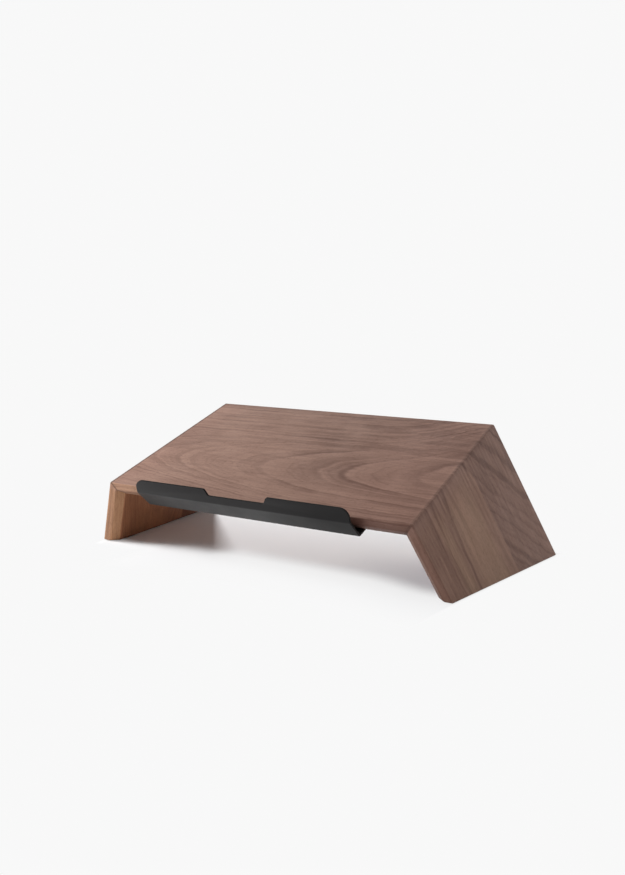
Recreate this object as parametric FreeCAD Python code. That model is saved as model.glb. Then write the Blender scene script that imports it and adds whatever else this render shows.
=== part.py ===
import FreeCAD, Part
import math
import os

# Laptop stand: a walnut board slopes down towards the user on two splayed legs, cut from the
# same panel and mitred to it. A folded steel tray is screwed under the front of the board. Its
# lip stops the laptop, the notch in the lip leaves room for a thumb at the laptop's lid, and the
# trough between the lip and the board holds pens.
#
# Each piece is laid out on the board as if the board lay flat: x to the right, y back from the
# top front edge, z up from the top face. stand_up() then tilts the layout onto the floor.
# Millimetres and degrees. The finished stand has +Z up and -Y to the user, and its origin is on
# the floor in the middle of its box.

# Walnut board and legs
board_width = 340.0        # between the outer corners of the two mitres
board_depth = 218.0        # front edge to back edge, along the slope
stock = 16.0               # thickness of the panel
tilt = 18.9                # slope of the board
splay = 22.7               # lean of each leg, away from square to the board
front_height = 70.7        # floor to the top front edge
bevel = 8.0                # 45 degree bevel along the inner front and back edges
arris = 1.5                # rounding of the outer edges
mitre_round = 2.5          # rounding along the two mitred corners
foot_ease = 0.8            # chamfer round the sawn bottom of each leg
saw_allowance = 30.0       # leg left over below the floor before it is sawn level

# Loose tenons glued across each mitre
tenon_count = 4
tenon_length = 20.0
tenon_width = 20.0
tenon_thickness = 4.0
tenon_inset = 6.0          # from the inside corner of the mitre to the tenon's middle
tenon_end_margin = 30.0    # from the front or back edge to the middle of the nearest tenon
glue_gap = 0.1

# Pads let into the bottoms of the legs
pad_length = 30.0
pad_width = 10.0
pad_thickness = 2.0
pad_proud = 0.8            # how far a pad stands out of its recess
pad_ease = 0.4             # chamfer round the lower rim of a pad
pad_end_margin = 30.0      # from the front or back edge of the leg to the middle of a pad
pad_gap = 0.15

# Folded steel tray
tray_width = 237.0
sheet = 2.0
lip_height = 17.0          # top of the lip above the board's top face
fold_height = 3.0          # fold between the lip and the slanting face, above the top face
lip_standoff = 16.5        # outer face of the lip in front of the board's edge
nose = 2.8                 # lower fold in front of the board's edge
flange_reach = 38.0        # back edge of the flange behind the board's front edge
bend_radius = 1.0          # inside the folds
lip_corner = 9.0
flange_corner = 6.0
notch_width = 62.0         # along the bottom of the notch
notch_depth = 6.7
notch_flare = 3.5          # how much wider the notch is at its mouth, each side
notch_round = 1.5

# Low-head cap screws and the threaded inserts that take them
screw_count = 4
screw_diameter = 4.0
screw_length = 8.0
screw_row = 24.0           # behind the board's front edge
screw_end_margin = 20.0    # from the end of the tray to the nearest screw
head_diameter = 7.0
head_height = 2.8
head_ease = 0.4
socket_width = 2.5         # across the flats
socket_depth = 1.6
screw_hole_clearance = 0.25
thread_clearance = 0.05
insert_wall = 1.2
insert_length = 8.0
insert_ease = 0.5          # chamfer that starts the insert in its hole
insert_relief = 1.0        # depth of the hole beyond the insert
insert_gap = 0.05

tilt_angle = math.radians(tilt)
splay_angle = math.radians(splay)
mitre = (90.0 - splay) / 2                  # half of the turn from the board to a leg
mitre_angle = math.radians(mitre)
inner_corner = board_width / 2 - stock * math.tan(mitre_angle)
leg_drop = (front_height + board_depth * math.sin(tilt_angle)) / math.cos(tilt_angle)
lip_front = -lip_standoff * math.cos(tilt_angle) - lip_height * math.sin(tilt_angle)
leg_back = board_depth * math.cos(tilt_angle) + (
    front_height - pad_proud + board_depth * math.sin(tilt_angle)) * math.tan(tilt_angle)
middle = (lip_front + leg_back) / 2         # middle of the stand, behind the top front edge
beyond = 4 * board_width                    # reaches clear of the whole stand

touch = 0.01                                # nearer than this, two points are the same

origin = FreeCAD.Vector()
right = FreeCAD.Vector(1, 0, 0)
back = FreeCAD.Vector(0, 1, 0)
up = FreeCAD.Vector(0, 0, 1)


def stand_up(shape):
    """Tilt a piece of the flat layout onto the floor."""
    placed = shape.copy()
    placed.rotate(origin, right, tilt)
    placed.translate(FreeCAD.Vector(0, -middle, front_height))
    return placed


def mirrored(shape):
    """The same piece on the left side of the stand."""
    return shape.mirror(origin, right)


def polygon_face(points):
    return Part.Face(Part.makePolygon(points + points[:1]))


def edges_at(shape, middles):
    """The straight edges of a shape whose middles are the given points."""
    return [edge for edge in shape.Edges
            if any(edge.CenterOfMass.distanceToPoint(point) < touch for point in middles)]


def stadium(length, width, height):
    """An upright plate with round ends, long along y and standing on z = 0."""
    half = (length - width) / 2
    radius = width / 2
    plate = Part.makeBox(width, 2 * half, height, FreeCAD.Vector(-radius, -half, 0))
    for y in (-half, half):
        plate = plate.fuse(Part.makeCylinder(radius, height, FreeCAD.Vector(0, y, 0)))
    return plate.removeSplitter()


def panel_outline():
    """Outer and inner corners of board and legs, seen from the front, left foot to right foot."""
    reach = leg_drop + saw_allowance
    foot_x = board_width / 2 + reach * math.tan(splay_angle)
    inner_foot_x = inner_corner + (reach - stock) * math.tan(splay_angle)
    outer = [(-foot_x, -reach), (-board_width / 2, 0), (board_width / 2, 0), (foot_x, -reach)]
    inner = [(-inner_foot_x, -reach), (-inner_corner, -stock),
             (inner_corner, -stock), (inner_foot_x, -reach)]
    return outer, inner


def side_middles(corners, y):
    """Middles of the three runs of an outline at one depth."""
    return [FreeCAD.Vector((a[0] + b[0]) / 2, y, (a[1] + b[1]) / 2)
            for a, b in zip(corners, corners[1:])]


def panel():
    """Board and legs in one, with their edges shaped, before the mitres are sawn."""
    outer, inner = panel_outline()
    section = polygon_face([FreeCAD.Vector(x, 0, z) for x, z in outer + inner[::-1]])
    body = section.extrude(back * board_depth)
    body = body.makeChamfer(bevel, edges_at(body, side_middles(inner, 0)
                                            + side_middles(inner, board_depth)))
    corners = [FreeCAD.Vector(side * board_width / 2, board_depth / 2, 0) for side in (-1, 1)]
    body = body.makeFillet(mitre_round, edges_at(body, corners))
    rims = [edge for edge in body.Edges
            if on_rim(edge, 0) or on_rim(edge, board_depth)]
    return body.makeFillet(arris, rims)


def on_rim(edge, y):
    """True for an outer edge of the front or back face, the round at a mitre included."""
    points = [edge.valueAt(edge.FirstParameter + part * (edge.LastParameter - edge.FirstParameter))
              for part in (0.25, 0.5, 0.75)]
    return all(abs(point.y - y) < touch and outside(point) for point in points)


def outside(point):
    """True for a point on the outer faces of board and legs, or on the round between them."""
    depth_in_board = -point.z
    depth_in_leg = (board_width / 2 - abs(point.x)) * math.cos(splay_angle) \
        - point.z * math.sin(splay_angle)
    return min(depth_in_board, depth_in_leg) < (stock - bevel) / 2


def leg_side():
    """All the space on the right leg's side of the right mitre."""
    outer = FreeCAD.Vector(board_width / 2, 0, 0)
    along = FreeCAD.Vector(math.sin(mitre_angle), 0, math.cos(mitre_angle)) * beyond
    away = FreeCAD.Vector(math.cos(mitre_angle), 0, -math.sin(mitre_angle)) * beyond
    face = polygon_face([outer - along, outer + along, outer + along + away, outer - along + away])
    return face.extrude(back * board_depth)


def tenon(gap):
    """One tenon across the right mitre, grown all round by a gap, at y = 0."""
    plate = stadium(tenon_width + 2 * gap, tenon_thickness + 2 * gap, tenon_length + 2 * gap)
    plate.translate(-up * (tenon_length / 2 + gap))
    plate.rotate(origin, back, 90 + mitre)
    plate.translate(FreeCAD.Vector(inner_corner + tenon_inset * math.sin(mitre_angle), 0,
                                   tenon_inset * math.cos(mitre_angle) - stock))
    return plate


def tenon_rows():
    pitch = (board_depth - 2 * tenon_end_margin) / (tenon_count - 1)
    return [tenon_end_margin + number * pitch for number in range(tenon_count)]


def screw_columns():
    span = tray_width - 2 * screw_end_margin
    return [number * span / (screw_count - 1) - span / 2 for number in range(screw_count)]


def moved(shape, x, y, z):
    placed = shape.copy()
    placed.translate(FreeCAD.Vector(x, y, z))
    return placed


def insert_radius():
    return screw_diameter / 2 + thread_clearance + insert_wall


def board():
    """Middle of the panel, with mortises in both mitres and holes for the inserts."""
    wood = panel().cut([leg_side(), mirrored(leg_side())])
    mortises = [moved(tenon(glue_gap), 0, y, 0) for y in tenon_rows()]
    mortises += [mirrored(mortise) for mortise in mortises]
    hole = Part.makeCylinder(insert_radius() + insert_gap, insert_length + insert_relief)
    holes = [moved(hole, x, screw_row, -stock) for x in screw_columns()]
    return stand_up(wood.cut(mortises + holes))


def leg():
    """Right leg, sawn off level with the floor, with its mortises and pad recesses."""
    wood = panel().common(leg_side())
    mortises = [moved(tenon(glue_gap), 0, y, 0) for y in tenon_rows()]
    wood = stand_up(wood.cut(mortises))
    corner = FreeCAD.Vector(-beyond, -beyond, pad_proud - beyond)
    wood = wood.cut(Part.makeBox(2 * beyond, 2 * beyond, beyond, corner))
    rim = [edge for face in wood.Faces if is_sole(face) for edge in face.Edges]
    wood = wood.makeChamfer(foot_ease, rim)
    recess = stadium(pad_length + 2 * pad_gap, pad_width + 2 * pad_gap, pad_thickness - pad_proud)
    return wood.cut([on_sole(recess, y, pad_proud) for y in pad_rows()])


def is_sole(face):
    """True for the sawn bottom of a leg."""
    box = face.BoundBox
    return box.ZMax < pad_proud + touch and box.ZMin > pad_proud - touch


def pad_rows():
    return [pad_end_margin, board_depth - pad_end_margin]


def sole_point(y):
    """Middle of the right leg's sawn bottom, at a depth y along the board."""
    height = (front_height - pad_proud + y * math.sin(tilt_angle)) / math.cos(tilt_angle)
    run = height - stock / 2 * math.sin(splay_angle)
    x = board_width / 2 - stock / 2 * math.cos(splay_angle) + run * math.tan(splay_angle)
    return FreeCAD.Vector(x, y * math.cos(tilt_angle) + height * math.sin(tilt_angle) - middle, 0)


def on_sole(shape, y, z):
    """Turn an upright plate along the sole and set it down there."""
    line = sole_point(board_depth) - sole_point(0)
    turned = shape.copy()
    turned.rotate(origin, up, -math.degrees(math.atan2(line.x, line.y)))
    point = sole_point(y)
    return moved(turned, point.x, point.y, z)


def pad():
    """Rubber pad with an eased rim round its lower face."""
    plate = stadium(pad_length, pad_width, pad_thickness)
    return plate.makeChamfer(pad_ease, [edge for edge in plate.Edges
                                        if edge.BoundBox.ZMax < touch])


def tray_profile():
    """Outer and inner corners of the folded sheet from the lip down, as (y, z)."""
    outer = [(-lip_standoff, lip_height), (-lip_standoff, fold_height),
             (-nose, -stock - sheet), (flange_reach, -stock - sheet)]
    normals = []
    for start, end in zip(outer, outer[1:]):
        length = math.dist(start, end)
        normals.append(((start[1] - end[1]) / length, (end[0] - start[0]) / length))
    inner = []
    for point, before, after in zip(outer, normals[:1] + normals, normals + normals[-1:]):
        share = sheet / (1 + before[0] * after[0] + before[1] * after[1])
        inner.append((point[0] + share * (before[0] + after[0]),
                      point[1] + share * (before[1] + after[1])))
    return outer, inner


def notch():
    """The cut-out in the lip, wider at its mouth."""
    bottom = lip_height - notch_depth
    half = notch_width / 2
    flare = notch_flare / notch_depth
    top = lip_height + notch_depth
    wide = half + 2 * notch_depth * flare
    front = -lip_standoff - sheet
    corners = [(-wide, top), (-half, bottom), (half, bottom), (wide, top)]
    face = polygon_face([FreeCAD.Vector(x, front, z) for x, z in corners])
    return face.extrude(back * 3 * sheet)


def tray():
    """Folded sheet: lip, slanting face and the flange that is screwed under the board."""
    outer, inner = tray_profile()
    half = tray_width / 2
    section = polygon_face([FreeCAD.Vector(-half, y, z) for y, z in outer + inner[::-1]])
    metal = section.extrude(right * tray_width)
    for corners, radius in ((outer, bend_radius + sheet), (inner, bend_radius)):
        folds = [FreeCAD.Vector(0, y, z) for y, z in corners[1:3]]
        metal = metal.makeFillet(radius, edges_at(metal, folds))
    lip_middle = sheet / 2 - lip_standoff
    ends = [FreeCAD.Vector(side * half, lip_middle, lip_height) for side in (-1, 1)]
    metal = metal.makeFillet(lip_corner, edges_at(metal, ends))
    ends = [FreeCAD.Vector(side * half, flange_reach, -stock - sheet / 2) for side in (-1, 1)]
    metal = metal.makeFillet(flange_corner, edges_at(metal, ends))
    metal = metal.cut(notch())
    mouths = [FreeCAD.Vector(side * (notch_width / 2 + out), lip_middle, lip_height - down)
              for side in (-1, 1) for out, down in ((0, notch_depth), (notch_flare, 0))]
    metal = metal.makeFillet(notch_round, edges_at(metal, mouths))
    hole = Part.makeCylinder(screw_diameter / 2 + screw_hole_clearance, 3 * sheet)
    return metal.cut([moved(hole, x, screw_row, -stock - 2 * sheet) for x in screw_columns()])


def ease_end(shape, size, z):
    """Chamfer the outer rim of a round piece at the height z."""
    return shape.makeChamfer(size, [edge for edge in shape.Edges
                                    if edge.Closed and abs(edge.CenterOfMass.z - z) < touch])


def insert():
    """Threaded insert, its mouth at z = 0 and its body above."""
    body = ease_end(Part.makeCylinder(insert_radius(), insert_length), insert_ease, insert_length)
    return body.cut(Part.makeCylinder(screw_diameter / 2 + thread_clearance, insert_length))


def screw():
    """Low-head cap screw, the underside of its head at z = 0 and its shank above."""
    head = Part.makeCylinder(head_diameter / 2, head_height, -up * head_height)
    head = ease_end(head, head_ease, -head_height)
    corner = socket_width / math.sqrt(3)
    hexagon = [FreeCAD.Vector(corner * math.cos(math.radians(60 * number)),
                              corner * math.sin(math.radians(60 * number)), -head_height)
               for number in range(6)]
    socket = polygon_face(hexagon).extrude(up * socket_depth)
    return head.fuse(Part.makeCylinder(screw_diameter / 2, screw_length)).cut(socket)


def pieces():
    """Every piece of the stand, by name."""
    right_leg = leg()
    named = {"top_board": board(), "right_leg": right_leg, "left_leg": mirrored(right_leg),
             "front_tray": stand_up(tray())}
    for number, y in enumerate(tenon_rows(), 1):
        right_tenon = stand_up(moved(tenon(0), 0, y, 0))
        named["right_tenon_%d" % number] = right_tenon
        named["left_tenon_%d" % number] = mirrored(right_tenon)
    for number, x in enumerate(screw_columns(), 1):
        named["tray_insert_%d" % number] = stand_up(moved(insert(), x, screw_row, -stock))
        named["tray_screw_%d" % number] = stand_up(moved(screw(), x, screw_row, -stock - sheet))
    for place, y in zip(("front", "rear"), pad_rows()):
        right_pad = on_sole(pad(), y, 0)
        named["right_%s_pad" % place] = right_pad
        named["left_%s_pad" % place] = mirrored(right_pad)
    return named


os.makedirs("parts", exist_ok=True)
for name, shape in pieces().items():
    shape.exportStep("parts/%s.step" % name)
    print("%-16s %9.2f mm3, %d solid" % (name, shape.Volume, len(shape.Solids)))
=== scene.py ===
# %% [markdown]
# # A walnut laptop stand with a folded steel tray
#
# A board slopes down to the user on two legs that lean outwards. Board and legs are cut from one
# walnut panel, so the grain runs over the top and on down the legs. Under the front edge hangs a
# tray folded from one sheet of steel and powder coated black. This lesson models the board, the
# legs and the tray, gives every piece its finish, and sets the stand on a white studio floor.
#
# The measured solids come first. They fix every size and place, and the small parts among them
# (tenons, inserts, screws and rubber pads) are shown as they are, in materials made below.

# %% Load the measured parts
import math
import bmesh
import bpy
from mathutils import Euler, Matrix, Vector


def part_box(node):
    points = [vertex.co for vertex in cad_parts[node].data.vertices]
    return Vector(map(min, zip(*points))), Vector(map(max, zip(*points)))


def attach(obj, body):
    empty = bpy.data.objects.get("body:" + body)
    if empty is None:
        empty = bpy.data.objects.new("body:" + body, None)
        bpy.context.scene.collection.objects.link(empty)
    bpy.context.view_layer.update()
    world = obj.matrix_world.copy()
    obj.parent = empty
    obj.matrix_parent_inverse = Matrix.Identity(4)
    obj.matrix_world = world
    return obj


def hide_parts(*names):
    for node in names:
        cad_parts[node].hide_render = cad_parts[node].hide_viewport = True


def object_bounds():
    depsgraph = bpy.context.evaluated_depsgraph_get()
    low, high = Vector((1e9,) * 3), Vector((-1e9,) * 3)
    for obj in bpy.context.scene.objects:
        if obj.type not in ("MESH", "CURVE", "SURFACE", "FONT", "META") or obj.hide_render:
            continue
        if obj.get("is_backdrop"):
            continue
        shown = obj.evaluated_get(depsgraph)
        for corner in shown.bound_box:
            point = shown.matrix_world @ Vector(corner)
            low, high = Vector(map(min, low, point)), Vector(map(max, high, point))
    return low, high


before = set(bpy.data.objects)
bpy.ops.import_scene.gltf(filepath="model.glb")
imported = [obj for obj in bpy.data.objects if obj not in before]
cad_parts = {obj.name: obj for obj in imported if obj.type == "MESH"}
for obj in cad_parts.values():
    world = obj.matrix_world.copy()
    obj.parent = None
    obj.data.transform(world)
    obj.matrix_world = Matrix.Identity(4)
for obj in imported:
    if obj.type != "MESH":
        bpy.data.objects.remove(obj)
solid_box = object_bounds()
print("parts:", len(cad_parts), "box:",
      [[round(n, 4) for n in corner] for corner in solid_box])

# %% [markdown]
# The stand is easiest to shape as if its board lay flat: x to the right, y back from the top front
# edge, z up from the top face. Afterwards the mesh is tilted and set down. The few sizes below
# drive all the rest, and the place of the flat layout is read from the loaded tray, whose lip is
# the foremost part of the stand.

# %% Sizes of the panel and the tray
mm = 0.001
board_width = 340 * mm       # between the outer corners of the two mitres
board_depth = 218 * mm
stock = 16 * mm              # thickness of the panel
tilt = math.radians(18.9)    # slope of the board
splay = math.radians(22.7)   # lean of each leg, away from square to the board
front_height = 70.7 * mm     # floor to the top front edge
bevel = 8 * mm               # along the inner front and back edges
bevel_ease = 0.5 * mm        # on both sides of that bevel
arris = 1.5 * mm             # rounding of the outer edges
foot_ease = 0.95 * mm
pad_proud = 0.8 * mm         # the sawn soles stand this far above the floor

tray_width = 237 * mm
sheet = 2 * mm
lip_height = 17 * mm         # top of the lip above the board's face
fold_height = 3 * mm
lip_standoff = 16.5 * mm     # outer face of the lip in front of the board's edge
nose = 2.8 * mm              # the lower fold in front of the board's edge
flange_reach = 38 * mm

mitre = (math.pi / 2 - splay) / 2
inner_corner = board_width / 2 - stock * math.tan(mitre)
lip_front = -lip_standoff * math.cos(tilt) - lip_height * math.sin(tilt)
middle = lip_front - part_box("front_tray")[0].y
stood_up = Matrix.Translation((0, -middle, front_height)) @ Matrix.Rotation(tilt, 4, "X")
print(f"middle of the stand is {middle / mm:.2f} mm behind the top front edge")

# %% [markdown]
# ## Camera
#
# A product view from the front and a little to the right, low enough to look under the board. The
# camera looks along a yaw and a pitch at a point just above the board, from about 0.9 m, with a
# normal lens, so that the legs converge a little as they do to the eye.

# %% Camera
camera_yaw = math.radians(29.36)
camera_pitch = math.radians(7.98)
camera_roll = math.radians(1.65)
camera_distance = 908.5 * mm
aim = Vector((12.83 * mm, 102.13 * mm - middle, 105.31 * mm))

bpy.ops.object.camera_add()
camera = bpy.context.object
camera.name = "camera"
turned = (Matrix.Rotation(camera_yaw, 4, "Z") @ Matrix.Rotation(math.pi / 2 - camera_pitch, 4, "X")
          @ Matrix.Rotation(camera_roll, 4, "Z"))
camera.matrix_world = (Matrix.Translation(aim) @ turned
                       @ Matrix.Translation((0, 0, camera_distance)))
camera.data.sensor_width = 36
camera.data.lens = 36.25
camera.data.shift_y = 0.02
camera.data.clip_end = 100
bpy.context.scene.camera = camera
bpy.context.scene.view_settings.view_transform = "Standard"
print("camera at", [round(n, 3) for n in camera.matrix_world.translation])

# %% [markdown]
# ## Helpers for building materials
#
# Every finish here is a small network of nodes. A *field* stands for the output of a node, a value
# that differs from place to place. Fields add and multiply like numbers, and each sum adds a math
# node to the network, so the formulas below read as they would on paper. A comparison gives 1
# where it holds and 0 elsewhere.

# %% Fields
class Field:
    """The output of a node. Arithmetic with it adds math nodes beside it."""

    def __init__(self, output):
        self.output = output
        self.tree = output.id_data

    def __add__(self, other):
        return calc("ADD", self, other)

    def __sub__(self, other):
        return calc("SUBTRACT", self, other)

    def __rsub__(self, other):
        return calc("SUBTRACT", other, self)

    def __mul__(self, other):
        return calc("MULTIPLY", self, other)

    def __truediv__(self, other):
        return calc("DIVIDE", self, other)

    def __gt__(self, other):
        return calc("GREATER_THAN", self, other)

    def __abs__(self):
        return calc("ABSOLUTE", self)


print("fields can be added, multiplied and compared")

# %% [markdown]
# One helper fills the inputs of a node, and the others add nodes to a network.

# %% Nodes
def fill(made, inputs):
    """Give inputs of a node their values, which are numbers, colours or fields."""
    for name, value in inputs.items():
        if isinstance(value, Field):
            value.tree.links.new(value.output, made.inputs[name])
        else:
            made.inputs[name].default_value = value


def node(tree, kind, inputs=None, **settings):
    """Add a node, set its options and fill its inputs."""
    made = tree.nodes.new(kind)
    for name, value in settings.items():
        setattr(made, name, value)
    fill(made, inputs or {})
    return made


def field(tree, kind, inputs=None, output=0, **settings):
    """Add a node and give back one of its outputs."""
    return Field(node(tree, kind, inputs, **settings).outputs[output])


def tree_of(values):
    """The network that the fields among some values belong to."""
    return next(value.tree for value in values if isinstance(value, Field))


def calc(operation, *values):
    """One step of arithmetic on fields and numbers."""
    return field(tree_of(values), "ShaderNodeMath", dict(enumerate(values)), operation=operation)


print("nodes can be added and filled")

# %% [markdown]
# The next helpers are the few steps that the finishes are made of: smooth ramps, mixes of two
# values, and colours laid over each other.

# %% Ramps, mixes and colours
def largest(first, *others):
    """The largest of several fields, place by place."""
    for other in others:
        first = calc("MAXIMUM", first, other)
    return first


def ramp(value, low, high, floor=0.0, ceiling=1.0):
    """Spread the part of a value between low and high over floor to ceiling, smoothly."""
    return field(value.tree, "ShaderNodeMapRange",
                 {"Value": value, "From Min": low, "From Max": high,
                  "To Min": floor, "To Max": ceiling}, interpolation_type="SMOOTHSTEP")


def between(amount, below, above):
    """One value where the amount is 0, another where it is 1."""
    return field(amount.tree, "ShaderNodeMix", {0: amount, 2: below, 3: above})


def blend(amount, below, above, how="MIX"):
    """Lay one colour over another by an amount."""
    return field(amount.tree, "ShaderNodeMix", {0: amount, 6: below, 7: above}, output=2,
                 data_type="RGBA", blend_type=how)


def axes(place):
    """The three coordinates of a place."""
    made = node(place.tree, "ShaderNodeSeparateXYZ", {0: place})
    return [Field(output) for output in made.outputs]


def paint(red, green, blue):
    """A colour as a painter's card gives it, 0 to 255, turned into the light it reflects."""
    def light(level):
        level /= 255
        return level / 12.92 if level <= 0.04045 else ((level + 0.055) / 1.055) ** 2.4
    return (light(red), light(green), light(blue), 1.0)


print(f"a card painted half bright reflects {paint(128, 128, 128)[0]:.2f} of the light")

# %% [markdown]
# A material starts from its shader and from the place on the piece in millimetres. The place can
# be turned and shifted, which lays a leg back into the flat panel that it was cut from. Effects
# that several finishes share are node groups with named inputs and outputs.

# %% Materials and groups
def new_material(name, shift=(0, 0, 0), rotation=(0, 0, 0)):
    """A new material, its shader, and the place on the piece in millimetres."""
    material = bpy.data.materials.new(name)
    material.use_nodes = True
    tree = material.node_tree
    place = field(tree, "ShaderNodeMapping",
                  {"Vector": field(tree, "ShaderNodeTexCoord", output="Object"),
                   "Location": shift, "Rotation": rotation, "Scale": (1 / mm,) * 3})
    return material, tree.nodes["Principled BSDF"], place


def relief(height, strength, depth):
    """Turn a height into the slant of the surface."""
    return field(height.tree, "ShaderNodeBump",
                 {"Strength": strength, "Distance": depth, "Height": height})


def new_group(name, inputs, outputs):
    """An empty node group: the group, its inputs as fields, and the node for its outputs."""
    group = bpy.data.node_groups.new(name, "ShaderNodeTree")
    for label, kind in inputs.items():
        group.interface.new_socket(label, in_out="INPUT", socket_type=kind)
    for label in outputs:
        group.interface.new_socket(label, in_out="OUTPUT", socket_type=VALUE)
    given = node(group, "NodeGroupInput").outputs
    return group, {label: Field(given[label]) for label in inputs}, node(group, "NodeGroupOutput")


def use_group(group, **inputs):
    """Place a group beside the fields that feed it, and give back its outputs by name."""
    made = node(tree_of(inputs.values()), "ShaderNodeGroup", inputs, node_tree=group)
    return {output.name: Field(output) for output in made.outputs}


def finish_with(piece, material):
    """Give a piece one material."""
    piece.data.materials.clear()
    piece.data.materials.append(material)


VALUE = "NodeSocketFloat"
VECTOR = "NodeSocketVector"
print("materials and groups ready")

# %% [markdown]
# ## Effects shared by several finishes
#
# *Fibre* is noise drawn out along the grain: it gives the fine streaks of walnut and of beech.
# *Pores* are short dark dashes along the grain, the open vessels of the wood. *Mottle* is the slow
# unevenness of any handled or sprayed surface, and mostly changes its gloss. All three take
# millimetres, so a streak keeps its real size on every piece.

# %% Fibre, pores and mottle
def noise(place, length, width, detail, roughness, output="Fac"):
    """Noise with blots of one length along the grain and one width across it."""
    size = field(place.tree, "ShaderNodeCombineXYZ", {"X": length, "Y": width, "Z": width})
    stretched = field(place.tree, "ShaderNodeVectorMath", {0: place, 1: size}, operation="DIVIDE")
    return field(place.tree, "ShaderNodeTexNoise",
                 {"Vector": stretched, "Scale": 1.0, "Detail": detail, "Roughness": roughness},
                 output)


fibre, given, result = new_group("fibre", {"Place": VECTOR, "Length": VALUE, "Width": VALUE},
                                 ["Streak"])
streak = noise(given["Place"], given["Length"], given["Width"], detail=3.0, roughness=0.6)
fill(result, {"Streak": ramp(streak, 0.3, 0.7)})

pores, given, result = new_group("pores", {"Place": VECTOR, "Length": VALUE, "Width": VALUE,
                                           "Share": VALUE}, ["Pore"])
dash = noise(given["Place"], given["Length"], given["Width"], detail=1.0, roughness=0.4)
threshold = 0.78 - given["Share"] * 0.4     # a larger share lets weaker dashes through
fill(result, {"Pore": ramp(dash - threshold, 0.0, 0.07)})

mottle, given, result = new_group("mottle", {"Place": VECTOR, "Size": VALUE}, ["Cloud"])
blots = noise(given["Place"], given["Size"], given["Size"], detail=4.0, roughness=0.55)
fill(result, {"Cloud": ramp(blots, 0.25, 0.75)})


def grain(place, length, width):
    """Fibre with streaks of one length and width."""
    return use_group(fibre, Place=place, Length=length, Width=width)["Streak"]


def dashes(place, length, width, share):
    """Pores of one length and width."""
    return use_group(pores, Place=place, Length=length, Width=width, Share=share)["Pore"]


def cloud(place, size):
    """Mottle with clouds of one size."""
    return use_group(mottle, Place=place, Size=size)["Cloud"]


print("shared effects:", fibre.name, pores.name, mottle.name)

# %% [markdown]
# ## Walnut figure
#
# The panel is glued up from two staves. The front one is flat sawn near the heart: its growth
# rings meet the face as long loops round a centre line. The rear one is straighter, and its lines
# swing across towards the right end. A real saw cuts through a trunk of nested cones, and the
# figure is worked out in the same way: each place in the panel gets a number for the ring it lies
# in, from its place along the grain (s), its place across it (v) and its height in the wood (w).
# So the loops run on round every edge, show their layers on the sawn ends, and carry on unbroken
# from the board down the legs. A slow noise shifts s and v a little, as no trunk grows even.
#
# All places in the panel are in millimetres. Along the grain 0 is the middle of the board, the
# corners lie at -170 and 170, and the legs beyond them. Back runs from 0 at the front edge to 218,
# and up is 0 at the outer face and -16 at the inner one.

# %% Growth rings
stave_joint = 130.0          # millimetres behind the front edge
heart = 76.0                 # centre line of the loops
heart_bends = 35.0           # from here to the right the centre line runs backwards
heart_slant = 0.12
loop_width = 20.0            # squared millimetres that a loop opens across for each one along
rear_opening = 26.0          # the same on the rear side of the heart, where they open wider
cone = 0.085                 # how steeply the rings dive into the board
swing_start = 92.0           # where the rear stave's lines start to swing
swing = 0.8
turn_length = 22.0           # how gently they turn there
rear_dive = 2.0              # how far back they dive for each millimetre down
wander_along = 22.0          # how far the noise shifts s from one end of its range to the other
wander_across = 10.0         # the same for v

figure, given, result = new_group("walnut figure", {"Panel": VECTOR}, ["Loop", "Line", "Rear"])
wander = noise(given["Panel"], 50.0, 18.0, detail=5.0, roughness=0.6, output="Color")
drift = node(figure, "ShaderNodeSeparateColor", {0: wander}).outputs
along, back, w = axes(given["Panel"])
s = along + (Field(drift[0]) - 0.5) * wander_along
v = back + (Field(drift[1]) - 0.5) * wander_across

across = v - (largest(s - heart_bends, 0.0) * heart_slant + heart)
opening = between(across > 0.0, loop_width, rear_opening)
loop = s - across * across / opening - w / cone

past = s - swing_start
bent = calc("SQRT", past * past + turn_length ** 2)
line = v - (past + bent) * (swing / 2) + w * rear_dive
fill(result, {"Loop": loop, "Line": line, "Rear": back > stave_joint})
print("rings: loops round", heart, "mm, staves meet at", stave_joint, "mm")

# %% [markdown]
# The rings aren't evenly spaced. The main dark lines are set by their places along the centre
# line of the loops, and a ramp between them makes each line darken slowly and end sharply, as
# summer wood does. Weaker rings in between come from noise that varies only from ring to ring,
# and get broader toward the right leg.

# %% Rings as masks
def line_ramp(value, lines, start, end, before, after, rest=0.35):
    """A 0 to 1 mask that climbs to each line over a run before it and drops below rest after."""
    span = end - start
    made = node(value.tree, "ShaderNodeValToRGB", {0: (value - start) / span})
    stops = made.color_ramp.elements
    stops[0].position, stops[1].position = 0.0, 1.0
    stops[0].color = stops[1].color = (rest, rest, rest, 1)
    for line_place in lines:
        for offset, level in ((-before, rest), (0.0, 1.0), (after, 0.0)):
            stop = stops.new((line_place + offset - start) / span)
            stop.color = (level, level, level, 1)
    return Field(made.outputs["Color"])


def ring_noise(value, spacing, seed):
    """Noise that changes only from one ring to the next."""
    return field(value.tree, "ShaderNodeTexNoise",
                 {"W": value / spacing + seed, "Scale": 1.0, "Detail": 2.0, "Roughness": 0.6},
                 noise_dimensions="1D")


print("ring masks ready")

# %% [markdown]
# Both staves get their dark rings from these masks. The figure is calmer near the front edge, and
# both staves are calmer toward the left end. The spans named first are where the wood changes
# along the grain.

# %% Dark rings of both staves
mid_board = (-60.0, 40.0)           # from the left half to the right half of the board
toward_left = (-60.0, -130.0)
toward_corner = (130.0, 185.0)      # the last of the board and over the right corner
over_corner = (150.0, 190.0)        # from the board onto the right leg
up_to_corner = (185.0, 160.0)       # for what stops at the right corner
loop_lines = (-226.0, -166.0, -137.0, -30.0, 35.0, 64.0, 140.0)
rear_lines = (137.0, 147.0, 163.0, 188.0, 207.0)


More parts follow.
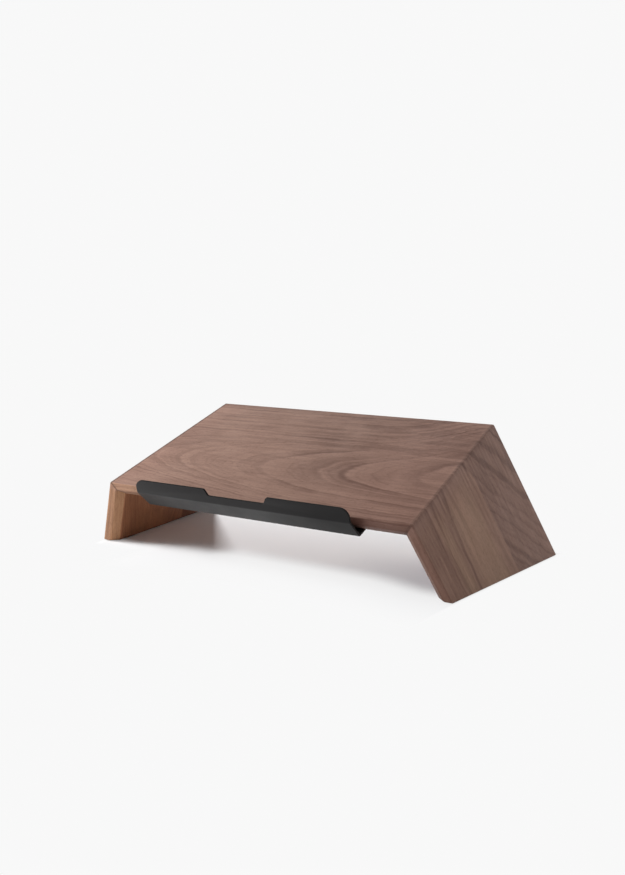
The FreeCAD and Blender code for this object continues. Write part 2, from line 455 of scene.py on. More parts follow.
def front_rings(loop, along, back):
    """Darkness of the front stave's rings, calmer toward the front edge and the left end."""
    strong = line_ramp(loop, loop_lines, start=-260.0, end=400.0, before=21.0, after=4.0)
    strength = calc("MINIMUM", ramp(along, *mid_board, 0.27, 0.52),
                    ramp(along, *over_corner, 0.52, 0.45))
    fine = ramp(ring_noise(loop, 16.0, seed=3.7), 0.42, 0.68)
    broad = ramp(ring_noise(loop, 34.0, seed=3.7), 0.4, 0.66)
    weak = between(ramp(along, 120.0, 185.0), fine, broad)
    inmost = ramp(loop, 110.0, 175.0, 0.24, 0.1)
    calm = largest(ramp(back, 3.0, 30.0, 0.3, 1.0), ramp(along, *up_to_corner))
    return (strong * strength + weak * inmost) * calm


def rear_rings(line, along):
    """Darkness of the rear stave's rings, calmer toward the left end."""
    strong = line_ramp(line, rear_lines, start=90.0, end=230.0, before=3.5, after=1.6)
    fine = ramp(ring_noise(line, 5.0, seed=8.1), 0.4, 0.7)
    broad = ramp(ring_noise(line, 15.0, seed=8.1), 0.4, 0.7)
    weak = between(ramp(along, 135.0, 180.0), fine, broad)
    weak = weak * ramp(along, *over_corner, 0.32, 0.37)
    return strong * ramp(along, *mid_board, 0.3, 0.55) + weak


print("main lines:", len(loop_lines), "in front,", len(rear_lines), "at the back")

# %% [markdown]
# The colour starts as pale walnut that the rings darken, more in some slow patches than in
# others. More lies over it, each time with a mask in panel millimetres:
#
# - fine streaks everywhere, and wider dark bands that are strongest at the top of the right leg
# - smudges of darker wood on the rear stave, most of all toward the board's right end
# - a pale line along the stave joint, clearest toward the right
# - two pale bands down the right leg

# %% Colour of the wood
walnut_pale = paint(212, 176, 148)
walnut_light = paint(179, 142, 126)
walnut_middle = paint(147, 110, 94)
walnut_dark = paint(90, 60, 50)
walnut_pore = paint(62, 42, 34)
pale_place = stave_joint - 3.0      # middle of the pale line


def wood_colour(place, along, back, rings):
    """Pale walnut with its rings, streaks, bands and smudges."""
    dark = between(rings["Rear"], front_rings(rings["Loop"], along, back),
                   rear_rings(rings["Line"], along))
    patchy = ramp(cloud(place, 90.0), 0.1, 0.7, 0.45, 1.15)
    dark = dark * largest(patchy, ramp(along, *toward_corner))
    tone = blend(dark, walnut_light, walnut_dark)
    streaks = grain(place, 60.0, 1.6)
    tone = blend(streaks * 0.25, tone, walnut_middle)

    smudges = ramp(grain(place, 55.0, 16.0), 0.35, 0.8)
    smudged = rings["Rear"] * ramp(along, *mid_board, 0.08, 0.3) * ramp(along, *up_to_corner)
    tone = blend(smudges * smudged, tone, walnut_dark)
    bands = grain(place, 60.0, 6.0)
    banded = calc("MINIMUM", ramp(along, *toward_corner, 0.24, 0.44),
                  ramp(along, 205.0, 290.0, 0.44, 0.26))
    tone = blend(bands * banded, tone, walnut_dark)

    pale_line = ramp(abs(back - pale_place), 4.0, 0.8)
    tone = blend(pale_line * ramp(along, 60.0, 180.0, 0.12, 0.4), tone, walnut_light)
    pale_bands = largest(ramp(back, 48.0, 74.0) * ramp(back, 118.0, 104.0),
                         ramp(back, 29.0, 37.0) * ramp(back, 52.0, 44.0))
    return blend(pale_bands * ramp(along, 172.0, 215.0, 0.0, 0.24), tone, walnut_pale)


print("walnut runs from", [round(n, 2) for n in walnut_pale[:3]], "to",
      [round(n, 2) for n in walnut_pore[:3]])

# %% [markdown]
# Making leaves marks as well. Glue squeezed out along both mitres dries to a thin dark seam, and
# painted shade widens it where the rounded corner turns from the light. Some of the wood is
# darker:
# the front of the right leg, the ends of the rear stave, and at the left the wood beside the stave
# joint. Painted shade darkens the sawn front edge and the bevel under it, most on the right, and
# the back edge at the left, and a painted shadow of the tray lies on the sawn edge beside its
# right end.

# %% Marks of making
mitre_line = board_width / 2 / mm - 1.6   # where the seam lies, just inside the corner
edge_line = -3.6                          # height of the faint line on the sawn front edge


def seam_and_arris_shade(place, along, up, on_edge):
    """The dark seam at both mitres, widened with painted shade on the rounded corner, and a faint
    line along the sawn edge at the left.
    """
    from_plane = abs(abs(along) - mitre_line) + up * math.tan(mitre)
    # the seam is partly dark glue and partly painted shade of the rounded corner, which turns away
    # from the light
    seam_strength = ramp(along, -140.0, 140.0, 0.48, 0.22) + cloud(place, 6.0) * 0.32
    on_line = on_edge * ramp(abs(up - edge_line), 1.9, 0.5) * ramp(along, *toward_left, 0.0, 0.2)
    return largest(ramp(abs(from_plane), 2.2, 0.3) * seam_strength, on_line)


def darker_wood_and_painted_shade(along, back, rear, on_edge, under_edge):
    """How much darker some wood is, with painted shade on the front edge, the bevel under it, the
    back at the left and beside the tray.
    """
    # painted shade on the sawn front edge toward the right and on the bevel under it, strongest on
    # the right leg
    edges = largest(on_edge * ramp(along, 20.0, 130.0), under_edge)
    leg_front = ramp(back, 42.0, 14.0) * ramp(along, 150.0, 185.0, 0.0, 0.8)
    edges = largest(edges * ramp(along, *over_corner, 1.5, 2.7), leg_front)
    right_end = rear * ramp(along, 40.0, 230.0, 0.0, 0.12)
    left_end = rear * ramp(along, -165.0, -190.0, 0.0, 2.6)
    widened = back + ramp(along, -118.0, -150.0, 0.0, 24.0)     # broader at the far left
    by_joint = (ramp(widened, 106.0, 120.0) * ramp(along, *toward_left, 0.0, 0.9)
                * ramp(back, 131.0, 129.0))
    # painted shade along the back edge at the left, and the painted shadow that the tray casts on
    # the sawn edge beside its right end
    shade_along_back = ramp(back, 203.0, 217.0) * ramp(along, 60.0, -120.0, 0.0, 1.5)
    tray_shadow = on_edge * ramp(along, 100.0, 116.0) * ramp(along, 129.0, 119.0, 0.0, 1.3)
    return edges + right_end + left_end + by_joint + shade_along_back + tray_shadow


print("seam", mitre_line, "mm from the middle")

# %% [markdown]
# The wood also changes from end to end. Painted shade darkens the board toward the right corner,
# as the light falls from the left, and the right leg is lighter again. A pale patch lies at the
# back of the right corner. A painted highlight lightens the sawn front edge at the left, and
# painted warm light lies on it and on the bevel under it. The left leg is warmer, and painted
# shade darkens its inside and makes it redder. The right leg's front stave is a little warmer too,
# and the board's left half is a little less red. Pores and the glue seam, widened with painted
# shade, come last.

# %% Walnut
# the first of these warms the left leg and the right leg's front stave, and is painted warm light
# on the sawn front edge and bevel at the left
walnut_warm = (1.0, 0.88, 0.58, 1.0)      # these three multiply the colour below them
# painted shade inside the left leg: this tint makes it redder, and the darkening in the walnut
# makes it deeper
walnut_inner_shade_tint = (1.2, 1.02, 0.95, 1.0)      # inside the left leg
walnut_less_red = (0.965, 1.0, 0.995, 1.0)   # on the board's left half
darkening_scale = 0.22


def unfold(turn, corner):
    """Rotation and shift that lay a part of the stand flat in the panel, in millimetres."""
    turned = Euler((-tilt, turn, 0)).to_matrix()
    hinge = Vector((corner, 0, 0))
    shift = hinge - Matrix.Rotation(turn, 3, "Y") @ hinge - turned @ stood_up.translation
    return turned.to_euler(), shift / mm


def walnut(name, turn=0.0, corner=0.0):
    """Oiled walnut for the board, or for a leg that was folded down by a turn at a corner."""
    rotation, shift = unfold(turn, corner)
    material, shader, place = new_material(name, shift, rotation)
    along, back, up = axes(place)
    rings = use_group(figure, Panel=place)
    hair = grain(place, 22.0, 0.45)
    clouds = cloud(place, 45.0)
    pore = dashes(place, 5.0, 0.28, share=0.4)
    tone = wood_colour(place, along, back, rings)

    on_edge = ramp(back, 1.2, 0.1)        # the sawn front edge, and the bevel under it
    under_edge = ramp(back, 9.5, 8.5) * ramp(up, -6.0, -8.0) * ramp(along, -172.0, -158.0)
    # painted shade on the inner face of the left leg, strongest toward the front
    painted_shade_inside_left = (ramp(along, -150.0, -165.0) * ramp(up, -15.0, -15.8)
                   * ramp(back, 80.0, 8.0, 1.0, 2.2))
    pale_back = ramp(back, 172.0, 198.0) * ramp(along, 110.0, 145.0) * ramp(along, 240.0, 190.0)
    # hair and clouds are the wood's own tone. The first ramp along the board is painted shade that
    # grows toward the right corner, the second takes it off the right leg, and the last is a
    # painted highlight on the sawn front edge at the left
    shade = (hair * 0.12 + clouds * 0.1 + ramp(along, -240.0, 120.0, 0.0, 0.26)
             - ramp(along, 164.0, 178.0, 0.0, 0.42)
             - on_edge * ramp(along, -120.0, -160.0, 0.0, 0.26))
    # darker wood and painted shade together, less on the pale patch
    darker_and_shaded = darker_wood_and_painted_shade(along, back, rings["Rear"], on_edge, under_edge) + painted_shade_inside_left - pale_back
    tone = blend(shade + darker_and_shaded * darkening_scale, tone, walnut_dark)

    # warmer wood on the left leg and the right leg's front stave, and painted warm light on the
    # front edge and bevel at the left
    warm = largest(ramp(along, -168.0, -181.0),
                   largest(on_edge, under_edge) * ramp(along, -90.0, -140.0, 0.0, 0.55),
                   ramp(along, 168.0, 190.0, 0.0, 0.17) * ramp(rings["Rear"], 1.0, 0.0))
    warm = warm - on_edge * ramp(along, -168.0, -178.0, 0.0, 0.18)
    less_red = ramp(along, -175.0, -120.0) * ramp(along, 130.0, 30.0)
    tone = blend(warm, tone, walnut_warm, "MULTIPLY")
    tone = blend(painted_shade_inside_left, tone, walnut_inner_shade_tint, "MULTIPLY")
    tone = blend(less_red, tone, walnut_less_red, "MULTIPLY")
    tone = blend(pore * 0.45, tone, walnut_pore)
    tone = blend(seam_and_arris_shade(place, along, up, on_edge), tone, walnut_pore)

    fill(shader, {"Base Color": tone, "Specular IOR Level": 0.22,
                  "Roughness": clouds * 0.08 + pore * 0.3 + 0.52,
                  "Normal": relief(hair * 0.25 - pore, 0.25, 0.08 * mm)})
    return material


# the scale applies to darker wood and to painted shade alike
print("each share of darker wood or painted shade darkens the wood by", darkening_scale)

# %% [markdown]
# The board and the legs get one material each. They differ only in how the piece is laid back
# into the flat panel: the board is level there, and each leg is folded up again at its corner.

# %% Walnut for the three pieces
board_walnut = walnut("walnut board")
right_walnut = walnut("walnut right leg", splay - math.pi / 2, board_width / 2)
left_walnut = walnut("walnut left leg", math.pi / 2 - splay, -board_width / 2)
print("walnut finishes:", board_walnut.name, right_walnut.name, left_walnut.name)

# %% [markdown]
# ## Powder coat
#
# The steel is sprayed with black powder and baked. Up close the coat has a fine dimpled skin, and
# it is satin rather than glossy, so the lower faces pick up a grey shine from the white floor.
# Painted shade makes the coat blacker toward the right end, and the coat is duller there. The
# lip's cut edges get painted shade too, which shows as a black line. The tray marks them in
# `cut_edge`.

# %% Powder coat
powder_thin = paint(34, 32, 32)
powder_grit = paint(46, 44, 44)     # on the dimples
# painted shade toward the right end
powder_shaded = paint(8, 7, 7)
# painted shade on the lip's cut edges
powder_edge_shade = paint(4, 3, 3)         # on the cut edges

powder_coat, shader, place = new_material("black powder coat")
grit = cloud(place, 0.7)
# painted shade, growing toward the right end; it also sets where the coat is duller
shaded_right_end = ramp(axes(place)[0], -60.0, 118.0)
cut = field(powder_coat.node_tree, "ShaderNodeAttribute", output="Fac", attribute_name="cut_edge")
coat = blend(grit * 0.25, powder_thin, powder_grit)
coat = blend(shaded_right_end * 0.6, coat, powder_shaded)
# painted shade on the cut edges
coat = blend(cut * 0.85, coat, powder_edge_shade)
dull = largest(ramp(shaded_right_end, 0.5, 1.0, 0.4, 0.52), cut * 0.9) + cloud(place, 30.0) * 0.08
fill(shader, {"Base Color": coat, "Specular IOR Level": 0.26, "Roughness": dull,
              "Normal": relief(grit, 0.2, 0.05 * mm)})
print("finish:", powder_coat.name)

# %% [markdown]
# ## Finishes of the small parts
#
# Beech tenons and brass inserts are buried in the wood, but they get their finish all the same,
# for anyone who takes the stand apart. The screws are blackened steel and the pads are rubber.

# %% Beech, brass, screw steel and rubber
beech, shader, place = new_material("beech")
streaks = grain(place, 14.0, 0.6)
flecks = dashes(place, 1.6, 0.25, share=0.45)
tone = blend(streaks * 0.5, paint(205, 168, 128), paint(180, 138, 98))
fill(shader, {"Base Color": blend(flecks * 0.5, tone, paint(140, 98, 66)),
              "Roughness": flecks * 0.2 + 0.55, "Normal": relief(streaks, 0.2, 0.05 * mm)})

brass, shader, place = new_material("insert brass")
clouds = cloud(place, 1.5)
fill(shader, {"Base Color": blend(clouds, paint(202, 168, 98), paint(170, 132, 70)),
              "Metallic": 1.0, "Roughness": clouds * 0.2 + 0.25})

screw_steel, shader, place = new_material("blackened screw steel")
clouds = cloud(place, 1.2)
fill(shader, {"Base Color": blend(clouds, paint(34, 34, 36), paint(58, 56, 56)),
              "Metallic": 0.7, "Roughness": clouds * 0.2 + 0.32})

rubber, shader, place = new_material("pad rubber")
grit = cloud(place, 0.5)
fill(shader, {"Base Color": blend(grit, paint(28, 27, 27), paint(46, 45, 44)),
              "Roughness": 0.85, "Normal": relief(grit, 0.4, 0.05 * mm)})

small_parts = {"tenon": beech, "tray_insert": brass, "tray_screw": screw_steel, "_pad": rubber}
finished = 0
for name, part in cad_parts.items():
    for word, material in small_parts.items():
        if word in name:
            finish_with(part, material)
            finished += 1
print("small parts finished:", finished)

# %% [markdown]
# ## Modelling helpers
#
# Meshes are shaped with the same operators as by hand. Each one acts on whatever is selected, so
# a helper first clears the selection and then picks faces, edges or corners by where they are.

# %% Picking and finishing
def alone(piece, mode="OBJECT"):
    """Make one object active and the only one selected, in the wanted mode."""
    if bpy.context.object and bpy.context.object.mode != "OBJECT":
        bpy.ops.object.mode_set(mode="OBJECT")
    bpy.ops.object.select_all(action="DESELECT")
    piece.select_set(True)
    bpy.context.view_layer.objects.active = piece
    bpy.ops.object.mode_set(mode=mode)


def centre_of(element):
    """Middle of a face, an edge or a corner."""
    if isinstance(element, bmesh.types.BMVert):
        return element.co
    if isinstance(element, bmesh.types.BMFace):
        return element.calc_center_median()
    return (element.verts[0].co + element.verts[1].co) / 2


def pick(kind, wanted):
    """In edit mode, select only the faces, edges or corners that pass a test."""
    bpy.ops.mesh.select_mode(type=kind)
    bpy.ops.mesh.select_all(action="DESELECT")
    mesh = bmesh.from_edit_mesh(bpy.context.object.data)
    found = [e for e in {"FACE": mesh.faces, "EDGE": mesh.edges, "VERT": mesh.verts}[kind]
             if wanted(e)]
    for element in found:
        element.select_set(True)
    bmesh.update_edit_mesh(bpy.context.object.data)
    return len(found)


def apply_place(piece):
    """Move an object's place, turn and size into its mesh."""
    alone(piece)
    bpy.ops.object.transform_apply(location=True, rotation=True, scale=True)


def near(a, b):
    """Whether two measures are the same to within a hundredth of a millimetre."""
    return abs(a - b) < 0.01 * mm


def modify(piece, kind, **settings):
    """Give the active object a modifier with these settings, and apply it."""
    modifier = piece.modifiers.new(kind.lower(), kind)
    for name, value in settings.items():
        setattr(modifier, name, value)
    bpy.ops.object.modifier_apply(modifier=modifier.name)


smooth_angle = math.radians(30)   # faces that meet at less than this are shaded as one
print("modelling helpers ready")

# %% [markdown]
# ## The panel: board and legs in one
#
# The real stand starts as one flat panel that is sawn across at the mitres and folded. Here the
# board starts as a box whose lower face is drawn in, which makes both ends into mitre planes. Each
# end face is then extruded along its leg. Shaping the edges while board and legs are one mesh
# makes every bevel turn the corner exactly, and the mitre cuts come last.

# %% Board with its two legs
leg_reach = 200 * mm
bpy.ops.object.select_all(action="DESELECT")
bpy.ops.mesh.primitive_cube_add(size=1, location=(0, board_depth / 2, -stock / 2),
                                scale=(board_width, board_depth, stock))
panel = bpy.context.object
panel.name = "walnut_panel"
apply_place(panel)
alone(panel, "EDIT")
pick("FACE", lambda face: face.normal.z < -0.9)
bpy.ops.transform.resize(value=(inner_corner / (board_width / 2), 1, 1),
                         center_override=(0, board_depth / 2, -stock))
for side in (-1, 1):
    down_leg = Vector((side * math.sin(splay), 0, -math.cos(splay))) * leg_reach
    pick("FACE", lambda face: side * face.normal.x > 0.5 and side * centre_of(face).x > 0)
    bpy.ops.mesh.extrude_region_move(TRANSFORM_OT_translate={"value": down_leg})
print("panel faces:", len(bmesh.from_edit_mesh(panel.data).faces))

# %% [markdown]
# The edges differ. Along the inner front and back edges runs a wide flat bevel, which makes the
# thick panel look slim from the front. The outer edges and the mitred corners only have their
# sharpness taken off, and they are rounded together, so that the rounds meet in a small ball at
# each corner. A place's depth below the outer faces tells the inner edges from the outer ones.

# %% Edges of the panel
def depth_inside(point):
    """How far a place lies under the outer faces of board and legs."""
    leg_depth = (board_width / 2 - abs(point.x)) * math.cos(splay) - point.z * math.sin(splay)
    return min(-point.z, leg_depth)


def on_front_or_back(edge):
    """Whether an edge runs along the front or the back of the panel."""
    ends = [vert.co.y for vert in edge.verts]
    return any(all(near(y, side) for y in ends) for side in (0, board_depth))


def is_mitre_corner(edge):
    """Whether an edge is the outer corner between the board and a leg."""
    return all(near(abs(vert.co.x), board_width / 2) and near(vert.co.z, 0)
               for vert in edge.verts)


inner = pick("EDGE", lambda edge: on_front_or_back(edge)
             and near(depth_inside(centre_of(edge)), stock))
bpy.ops.mesh.bevel(offset=bevel, segments=1)
outer = pick("EDGE", lambda edge: is_mitre_corner(edge)
             or on_front_or_back(edge) and near(depth_inside(centre_of(edge)), 0))
bpy.ops.mesh.bevel(offset=arris, segments=6)
print("edges bevelled:", inner, "inner,", outer, "outer")

# %% [markdown]
# A cabinet maker never leaves a bevel sharp: a stroke of sandpaper eases the edges on both sides
# of it. Those edges are found by the angle between their faces. They are too blunt to be the
# mitre, and too sharp to be part of a round.

# %% Eased bevels, and the panel set on its feet
def eased_edge(edge):
    """Whether an edge is one of the two sides of a bevel."""
    if edge.calc_length() < 2 * stock or not on_face_of_bevel(edge):
        return False
    return math.radians(35) < edge.calc_face_angle() < math.radians(60)


def on_face_of_bevel(edge):
    """Whether an edge borders a face that slants like a bevel, away from the outer rounds."""
    slants = [abs(face.normal.y) for face in edge.link_faces]
    return any(0.6 < slant < 0.8 for slant in slants) and depth_inside(centre_of(edge)) > arris


eased = pick("EDGE", eased_edge)
bpy.ops.mesh.bevel(offset=bevel_ease, segments=2)
alone(panel)
panel.data.transform(stood_up)
panel.data.update()
alone(panel, "EDIT")
bpy.ops.mesh.select_mode(type="FACE")
bpy.ops.mesh.select_all(action="SELECT")
bpy.ops.mesh.bisect(plane_co=(0, 0, pad_proud), plane_no=(0, 0, 1), use_fill=True,
                    clear_inner=True)
soles = pick("FACE", lambda face: near(centre_of(face).z, pad_proud))
bpy.ops.mesh.region_to_loop()
bpy.ops.mesh.bevel(offset=foot_ease, segments=1)
print("eased edges:", eased, "soles:", soles)

# %% [markdown]
# Now the saw goes through both mitres. The board and the legs are three copies of the panel, and
# each copy keeps what lies on its side of the cutting planes.

# %% Mitre cuts
def mitre_plane(side):
    """A point on a mitre and the direction that leads from the board into the leg."""
    point = stood_up @ Vector((side * board_width / 2, 0, 0))
    into_leg = stood_up.to_3x3() @ Vector((side * math.cos(mitre), 0, -math.sin(mitre)))
    return point, into_leg


def saw(piece, side, keep_leg):
    """Cut a piece at one mitre, keep one part and close the cut."""
    point, into_leg = mitre_plane(side)
    alone(piece, "EDIT")
    bpy.ops.mesh.select_all(action="SELECT")
    bpy.ops.mesh.bisect(plane_co=point, plane_no=into_leg, use_fill=True, threshold=0.001 * mm,
                        clear_inner=keep_leg, clear_outer=not keep_leg)
    alone(piece)


def copy_of(piece, name):
    """A copy of an object with a mesh of its own."""
    copy = piece.copy()
    copy.data = piece.data.copy()
    copy.name = copy.data.name = name
    bpy.context.scene.collection.objects.link(copy)
    return copy


alone(panel)
right_leg = copy_of(panel, "walnut_right_leg")
left_leg = copy_of(panel, "walnut_left_leg")
board = panel
board.name = board.data.name = "walnut_board"
saw(board, -1, False)
saw(board, 1, False)
saw(right_leg, 1, True)
saw(left_leg, -1, True)
print("pieces:", board.name, right_leg.name, left_leg.name)

# %% [markdown]
# Each of the three takes the place of its measured solid and gets its walnut. Rounds are shaded
# smooth, and everything sharper keeps its edge.

# %% Board and legs finished
for piece, node_name, finish in ((board, "top_board", board_walnut),
                                 (right_leg, "right_leg", right_walnut),
                                 (left_leg, "left_leg", left_walnut)):
    alone(piece)
    bpy.ops.object.shade_smooth_by_angle(angle=smooth_angle)
    finish_with(piece, finish)
    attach(piece, "root")
    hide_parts(node_name)
    print(piece.name, len(piece.data.polygons), "faces")

# %% [markdown]
# ## The steel tray
#
# The tray is one sheet with two folds: an upright lip, a slanting face and a flange that lies
# under the board. It is modelled as the outer skin of the folded sheet, then thickened inwards.
# The skin starts as the lip, a plane stood on edge, and its lower edge is extruded twice.

# %% Skin of the folded sheet
lip_middle = (lip_height + fold_height) / 2
bpy.ops.object.select_all(action="DESELECT")
bpy.ops.mesh.primitive_plane_add(size=1, location=(0, -lip_standoff, lip_middle),
                                 rotation=(math.pi / 2, 0, 0))
tray = bpy.context.object
tray.name = tray.data.name = "steel_tray"
tray.scale = (tray_width, lip_height - fold_height, 1)
apply_place(tray)
alone(tray, "EDIT")
for start, end in (((-lip_standoff, fold_height), (-nose, -stock - sheet)),
                   ((-nose, -stock - sheet), (flange_reach, -stock - sheet))):
    pick("EDGE", lambda edge: near(centre_of(edge).y, start[0])
         and near(centre_of(edge).z, start[1]))
    bpy.ops.mesh.extrude_region_move(TRANSFORM_OT_translate={
        "value": (0, end[0] - start[0], end[1] - start[1])})
outward = [face.normal.y < 0.01 for face in bmesh.from_edit_mesh(tray.data).faces]
print("skin faces:", len(outward), "facing outwards:", all(outward))

# %% [markdown]
# The notch in the middle of the lip is cut with three straight cuts, two slanting and one level,
# and the piece between them is deleted. Its corners, and the free corners of lip and flange, are
# then rounded as the real blank is before it is folded.

# %% Notch and rounded corners
notch_half = 31 * mm         # along the bottom of the notch
notch_depth = 6.7 * mm
notch_flare = 3.5 * mm
notch_round = 1.5 * mm
lip_corner = 9 * mm
flange_corner = 6 * mm

notch_floor = lip_height - notch_depth
for side in (-1, 1):
    pick("FACE", lambda face: centre_of(face).z > fold_height)
    bpy.ops.mesh.bisect(plane_co=(side * notch_half, 0, notch_floor),
                        plane_no=(side * notch_depth, 0, -notch_flare))
pick("FACE", lambda face: centre_of(face).z > fold_height and abs(centre_of(face).x) < notch_half)
bpy.ops.mesh.bisect(plane_co=(0, 0, notch_floor), plane_no=(0, 0, 1))
pick("FACE", lambda face: abs(centre_of(face).x) < notch_half and centre_of(face).z > notch_floor)
bpy.ops.mesh.delete(type="FACE")


def round_corners(radius, segments, wanted):
    """Round the corners of the skin that pass a test, and count them."""
    count = pick("VERT", wanted)
    bpy.ops.mesh.bevel(offset=radius, offset_type="OFFSET", segments=segments, affect="VERTICES")
    return count


def at_notch(vert):
    """Whether a corner lies at the bottom or at the mouth of the notch."""
    at_floor = near(abs(vert.co.x), notch_half) and near(vert.co.z, notch_floor)
    at_mouth = near(abs(vert.co.x), notch_half + notch_flare) and near(vert.co.z, lip_height)
    return at_floor or at_mouth


notch_corners = round_corners(notch_round, 4, at_notch)
lip_corners = round_corners(lip_corner, 10, lambda vert: near(abs(vert.co.x), tray_width / 2)
                            and near(vert.co.z, lip_height))
flange_corners = round_corners(flange_corner, 8, lambda vert: near(vert.co.y, flange_reach))
print("rounded:", notch_corners, "notch,", lip_corners, "lip,", flange_corners, "flange corners")

# %% [markdown]
# Folding leaves a small round on the outside of each bend. The two fold lines are bevelled with
# many segments, and a Solidify modifier then gives the skin the thickness of the sheet, to the
# inside.

# %% Bends and thickness
bend_radius = 1 * mm         # inside the folds

fold_lines = ((-lip_standoff, fold_height), (-nose, -stock - sheet))
for y, z in fold_lines:
    folded = pick("EDGE", lambda edge: all(near(vert.co.y, y) and near(vert.co.z, z)
                                           for vert in edge.verts))
    mesh = bmesh.from_edit_mesh(tray.data)
    turn = max(edge.calc_face_angle() for edge in mesh.edges if edge.select)
    bpy.ops.mesh.bevel(offset=(bend_radius + sheet) * math.tan(turn / 2), segments=8)
    print(f"fold at y {y / mm:.1f} mm turns {math.degrees(turn):.1f} degrees, edges {folded}")
alone(tray)
modify(tray, "SOLIDIFY", thickness=sheet, offset=-1, use_even_offset=True)
tray.data.transform(stood_up)
tray.data.update()

# %% [markdown]
# Four screws hold the flange to the board from below. A cylinder round each measured screw cuts
# its hole through the sheet.

# %% Screw holes
screw_hole = 4.5 * mm

cutters = []
for part in [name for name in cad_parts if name.startswith("tray_screw")]:
    low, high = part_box(part)
    bpy.ops.object.select_all(action="DESELECT")
    bpy.ops.mesh.primitive_cylinder_add(vertices=32, radius=screw_hole / 2, depth=6 * sheet,
                                        location=(low + high) / 2, rotation=(tilt, 0, 0))
    cutters.append(bpy.context.object)
    apply_place(cutters[-1])
bpy.ops.object.select_all(action="DESELECT")
for cutter in cutters:
    cutter.select_set(True)
bpy.context.view_layer.objects.active = cutters[0]
bpy.ops.object.join()
drill = bpy.context.object
alone(tray)
modify(tray, "BOOLEAN", object=drill, operation="DIFFERENCE", solver="EXACT")
bpy.data.objects.remove(drill)
print("screw holes:", len(cutters))

# %% [markdown]
# A small bevel takes the burr off the sheet's edges, and the lip's cut edges are marked, so that
# the powder coat paints shade on them. They are the faces of the lip that look neither forward nor
# back.

# %% Burr and cut edges
burr = 0.3 * mm

modify(tray, "BEVEL", width=burr, segments=2, limit_method="ANGLE", angle_limit=math.radians(50))
bpy.ops.object.shade_smooth_by_angle(angle=smooth_angle)

laid_flat = stood_up.inverted()
cut_edge = tray.data.attributes.new("cut_edge", "FLOAT", "FACE")
for face in tray.data.polygons:
    on_lip = (laid_flat @ face.center).z > fold_height
    looks_aside = abs((laid_flat.to_3x3() @ face.normal).y) < 0.8
    cut_edge.data[face.index].value = float(on_lip and looks_aside)
finish_with(tray, powder_coat)
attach(tray, "root")
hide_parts("front_tray")
print("tray:", len(tray.data.polygons), "faces")

# %% [markdown]
# ## Studio
#
# The stand is shown on a plain white floor that runs back into a white surround. Close to the
# stand the floor is a real surface, so it keeps the shadow, and painted shadow darkens its paint
# toward the right front, where the shadow is deepest. Further out the camera sees the floor at the
# same even white as the surround, which makes the horizon disappear. The surround looks brighter
# than it shines: it only fills the shadows softly.

# %% White for the camera
studio_white = 0.94          # what the camera sees of the floor and the surround
fill_level = 0.36            # what the surround really shines with
white = (1, 1, 1, 1)


def seen(tree):
    """1 for rays from the camera, also by way of gloss or glass, and 0 for the light itself."""
    path = node(tree, "ShaderNodeLightPath")
    return largest(*(Field(path.outputs[ray]) for ray in
                     ("Is Camera Ray", "Is Glossy Ray", "Is Transmission Ray")))


def either(amount, below, above):
    """One shader where the amount is 0, another where it is 1."""
    return field(amount.tree, "ShaderNodeMixShader", {0: amount, 1: below, 2: above})


surround = bpy.data.worlds.new("surround")
bpy.context.scene.world = surround
surround.use_nodes = True
tree = surround.node_tree
tree.nodes.clear()
soft_fill = field(tree, "ShaderNodeBackground", {"Color": white, "Strength": fill_level})
backdrop = field(tree, "ShaderNodeBackground", {"Color": white, "Strength": studio_white})
node(tree, "ShaderNodeOutputWorld", {0: either(seen(tree), soft_fill, backdrop)})
print("studio white:", studio_white)

# %% [markdown]
# The floor turns to plain white outside a shape drawn round the stand, all in millimetres from
# its middle. Beside the stand the shape's edge follows the feet, which stand further apart at the
# back. Behind the stand the edge is straight. In front it reaches forward at both feet, most at
# the left one, and lies further back between them. By the left foot the white sets in within a
# few centimetres. Elsewhere in front a part of it comes more slowly, over ten centimetres, because
# the shadow fades out over the floor there.

# %% Floor
floor_pale = (0.85, 0.855, 0.87, 1)
floor_deep = (0.60, 0.61, 0.65, 1)   # in the deepest shadow
back_edge = 150.0                    # behind the middle of the stand
side_edge = 211.5                    # beside it
side_slant = 0.135                   # how much wider the shape gets toward the back

bpy.ops.object.select_all(action="DESELECT")
bpy.ops.mesh.primitive_plane_add(size=60, location=(0, 0, 0))
floor = bpy.context.object
floor.name = "floor"
floor_paint, shader, place = new_material("floor paint")
x, y, _ = axes(place)
# painted shadow in the floor's paint, deepest toward the right front
deepest = ramp(x, 20.0, 190.0) * ramp(y, 75.0, -12.0)
fill(shader, {"Base Color": blend(deepest, floor_pale, floor_deep), "Roughness": 0.9,
              "Specular IOR Level": 0.0})

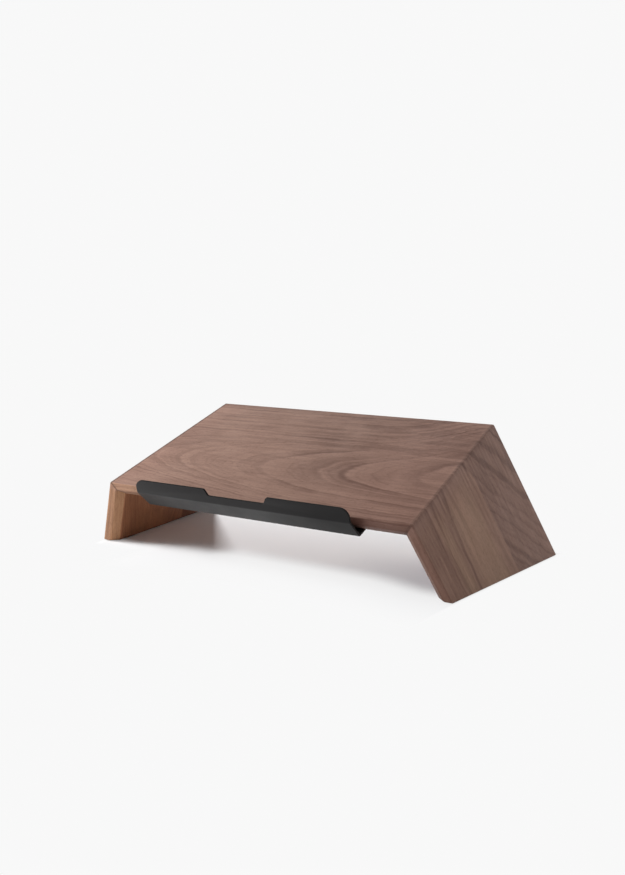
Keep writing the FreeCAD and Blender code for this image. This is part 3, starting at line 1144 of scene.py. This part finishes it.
beside = abs(x) - (y * side_slant + side_edge)
outside = ramp(largest(beside, y - back_edge), -11.0, 4.0)
front_edge = (ramp(x, -170.0, -80.0, -94.0, -72.0) + ramp(x, -85.0, -50.0, 0.0, 19.0)
              + ramp(x, 95.0, 175.0, 0.0, -16.0))
before = front_edge - y
sharp = largest(ramp(x, -100.0, -20.0, 0.6, 0.82), ramp(x, -105.0, -140.0))
in_front = between(sharp, ramp(before, 2.0, 102.0), ramp(before, -26.0, 18.0))
far = seen(floor_paint.node_tree) * largest(outside, in_front)
glow = field(floor_paint.node_tree, "ShaderNodeEmission", {"Color": white,
                                                           "Strength": studio_white})
fill(floor_paint.node_tree.nodes["Material Output"],
     {"Surface": either(far, Field(shader.outputs[0]), glow)})
finish_with(floor, floor_paint)
floor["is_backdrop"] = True
print("floor seen as a surface up to", side_edge, "mm beside and", back_edge, "mm behind")

# %% [markdown]
# ## Lights
#
# One soft lamp stands in front at the left, higher than the stand, and is the only one that lights
# the wood and the steel. The floor gets two more that light nothing else. The first softens the
# shadow under the board. The second stands behind at the left and lightens the floor between the
# legs. Linking them to the floor keeps the piece itself in one clear light.

# %% Lights
def soft_light(name, place, width, height, level, only=None):
    """A soft light facing the stand, at a level that lights a white card there by that much."""
    bpy.ops.object.light_add(type="AREA", location=place)
    lamp = bpy.context.object
    lamp.name = name
    lamp.data.shape = "RECTANGLE"
    lamp.data.size, lamp.data.size_y = width, height
    gap = Vector(place) - Vector((0, 0, front_height))
    lamp.data.energy = level * math.pi ** 2 * gap.length_squared
    lamp.rotation_euler = gap.to_track_quat("Z", "Y").to_euler()
    if only:
        lit = bpy.data.collections.new(name + "_lights")
        lit.objects.link(only)
        lamp.light_linking.receiver_collection = lit
    print(name, "power", round(lamp.data.energy, 1), "W")


soft_light("key_light", (-1.05, -0.70, 0.85), width=0.7, height=0.7, level=0.9)
soft_light("floor_key_light", (-1.05, -0.66, 0.85), width=0.5, height=0.5, level=0.5, only=floor)
soft_light("floor_back_light", (-0.87, 1.13, 0.90), width=0.22, height=0.34, level=1.1,
           only=floor)

# %% [markdown]
# ## Size of the pieces
#
# Both boxes are printed: the box of the measured solids and the box of the finished pieces.
# The finished pieces may not grow past the measured solids.

# %% Sizes and finish
shown_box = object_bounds()
for low_or_high, a, b in zip(("low", "high"), solid_box, shown_box):
    print(low_or_high, "corner, solid and shown, mm:",
          [(round(p / mm, 2), round(q / mm, 2)) for p, q in zip(a, b)])
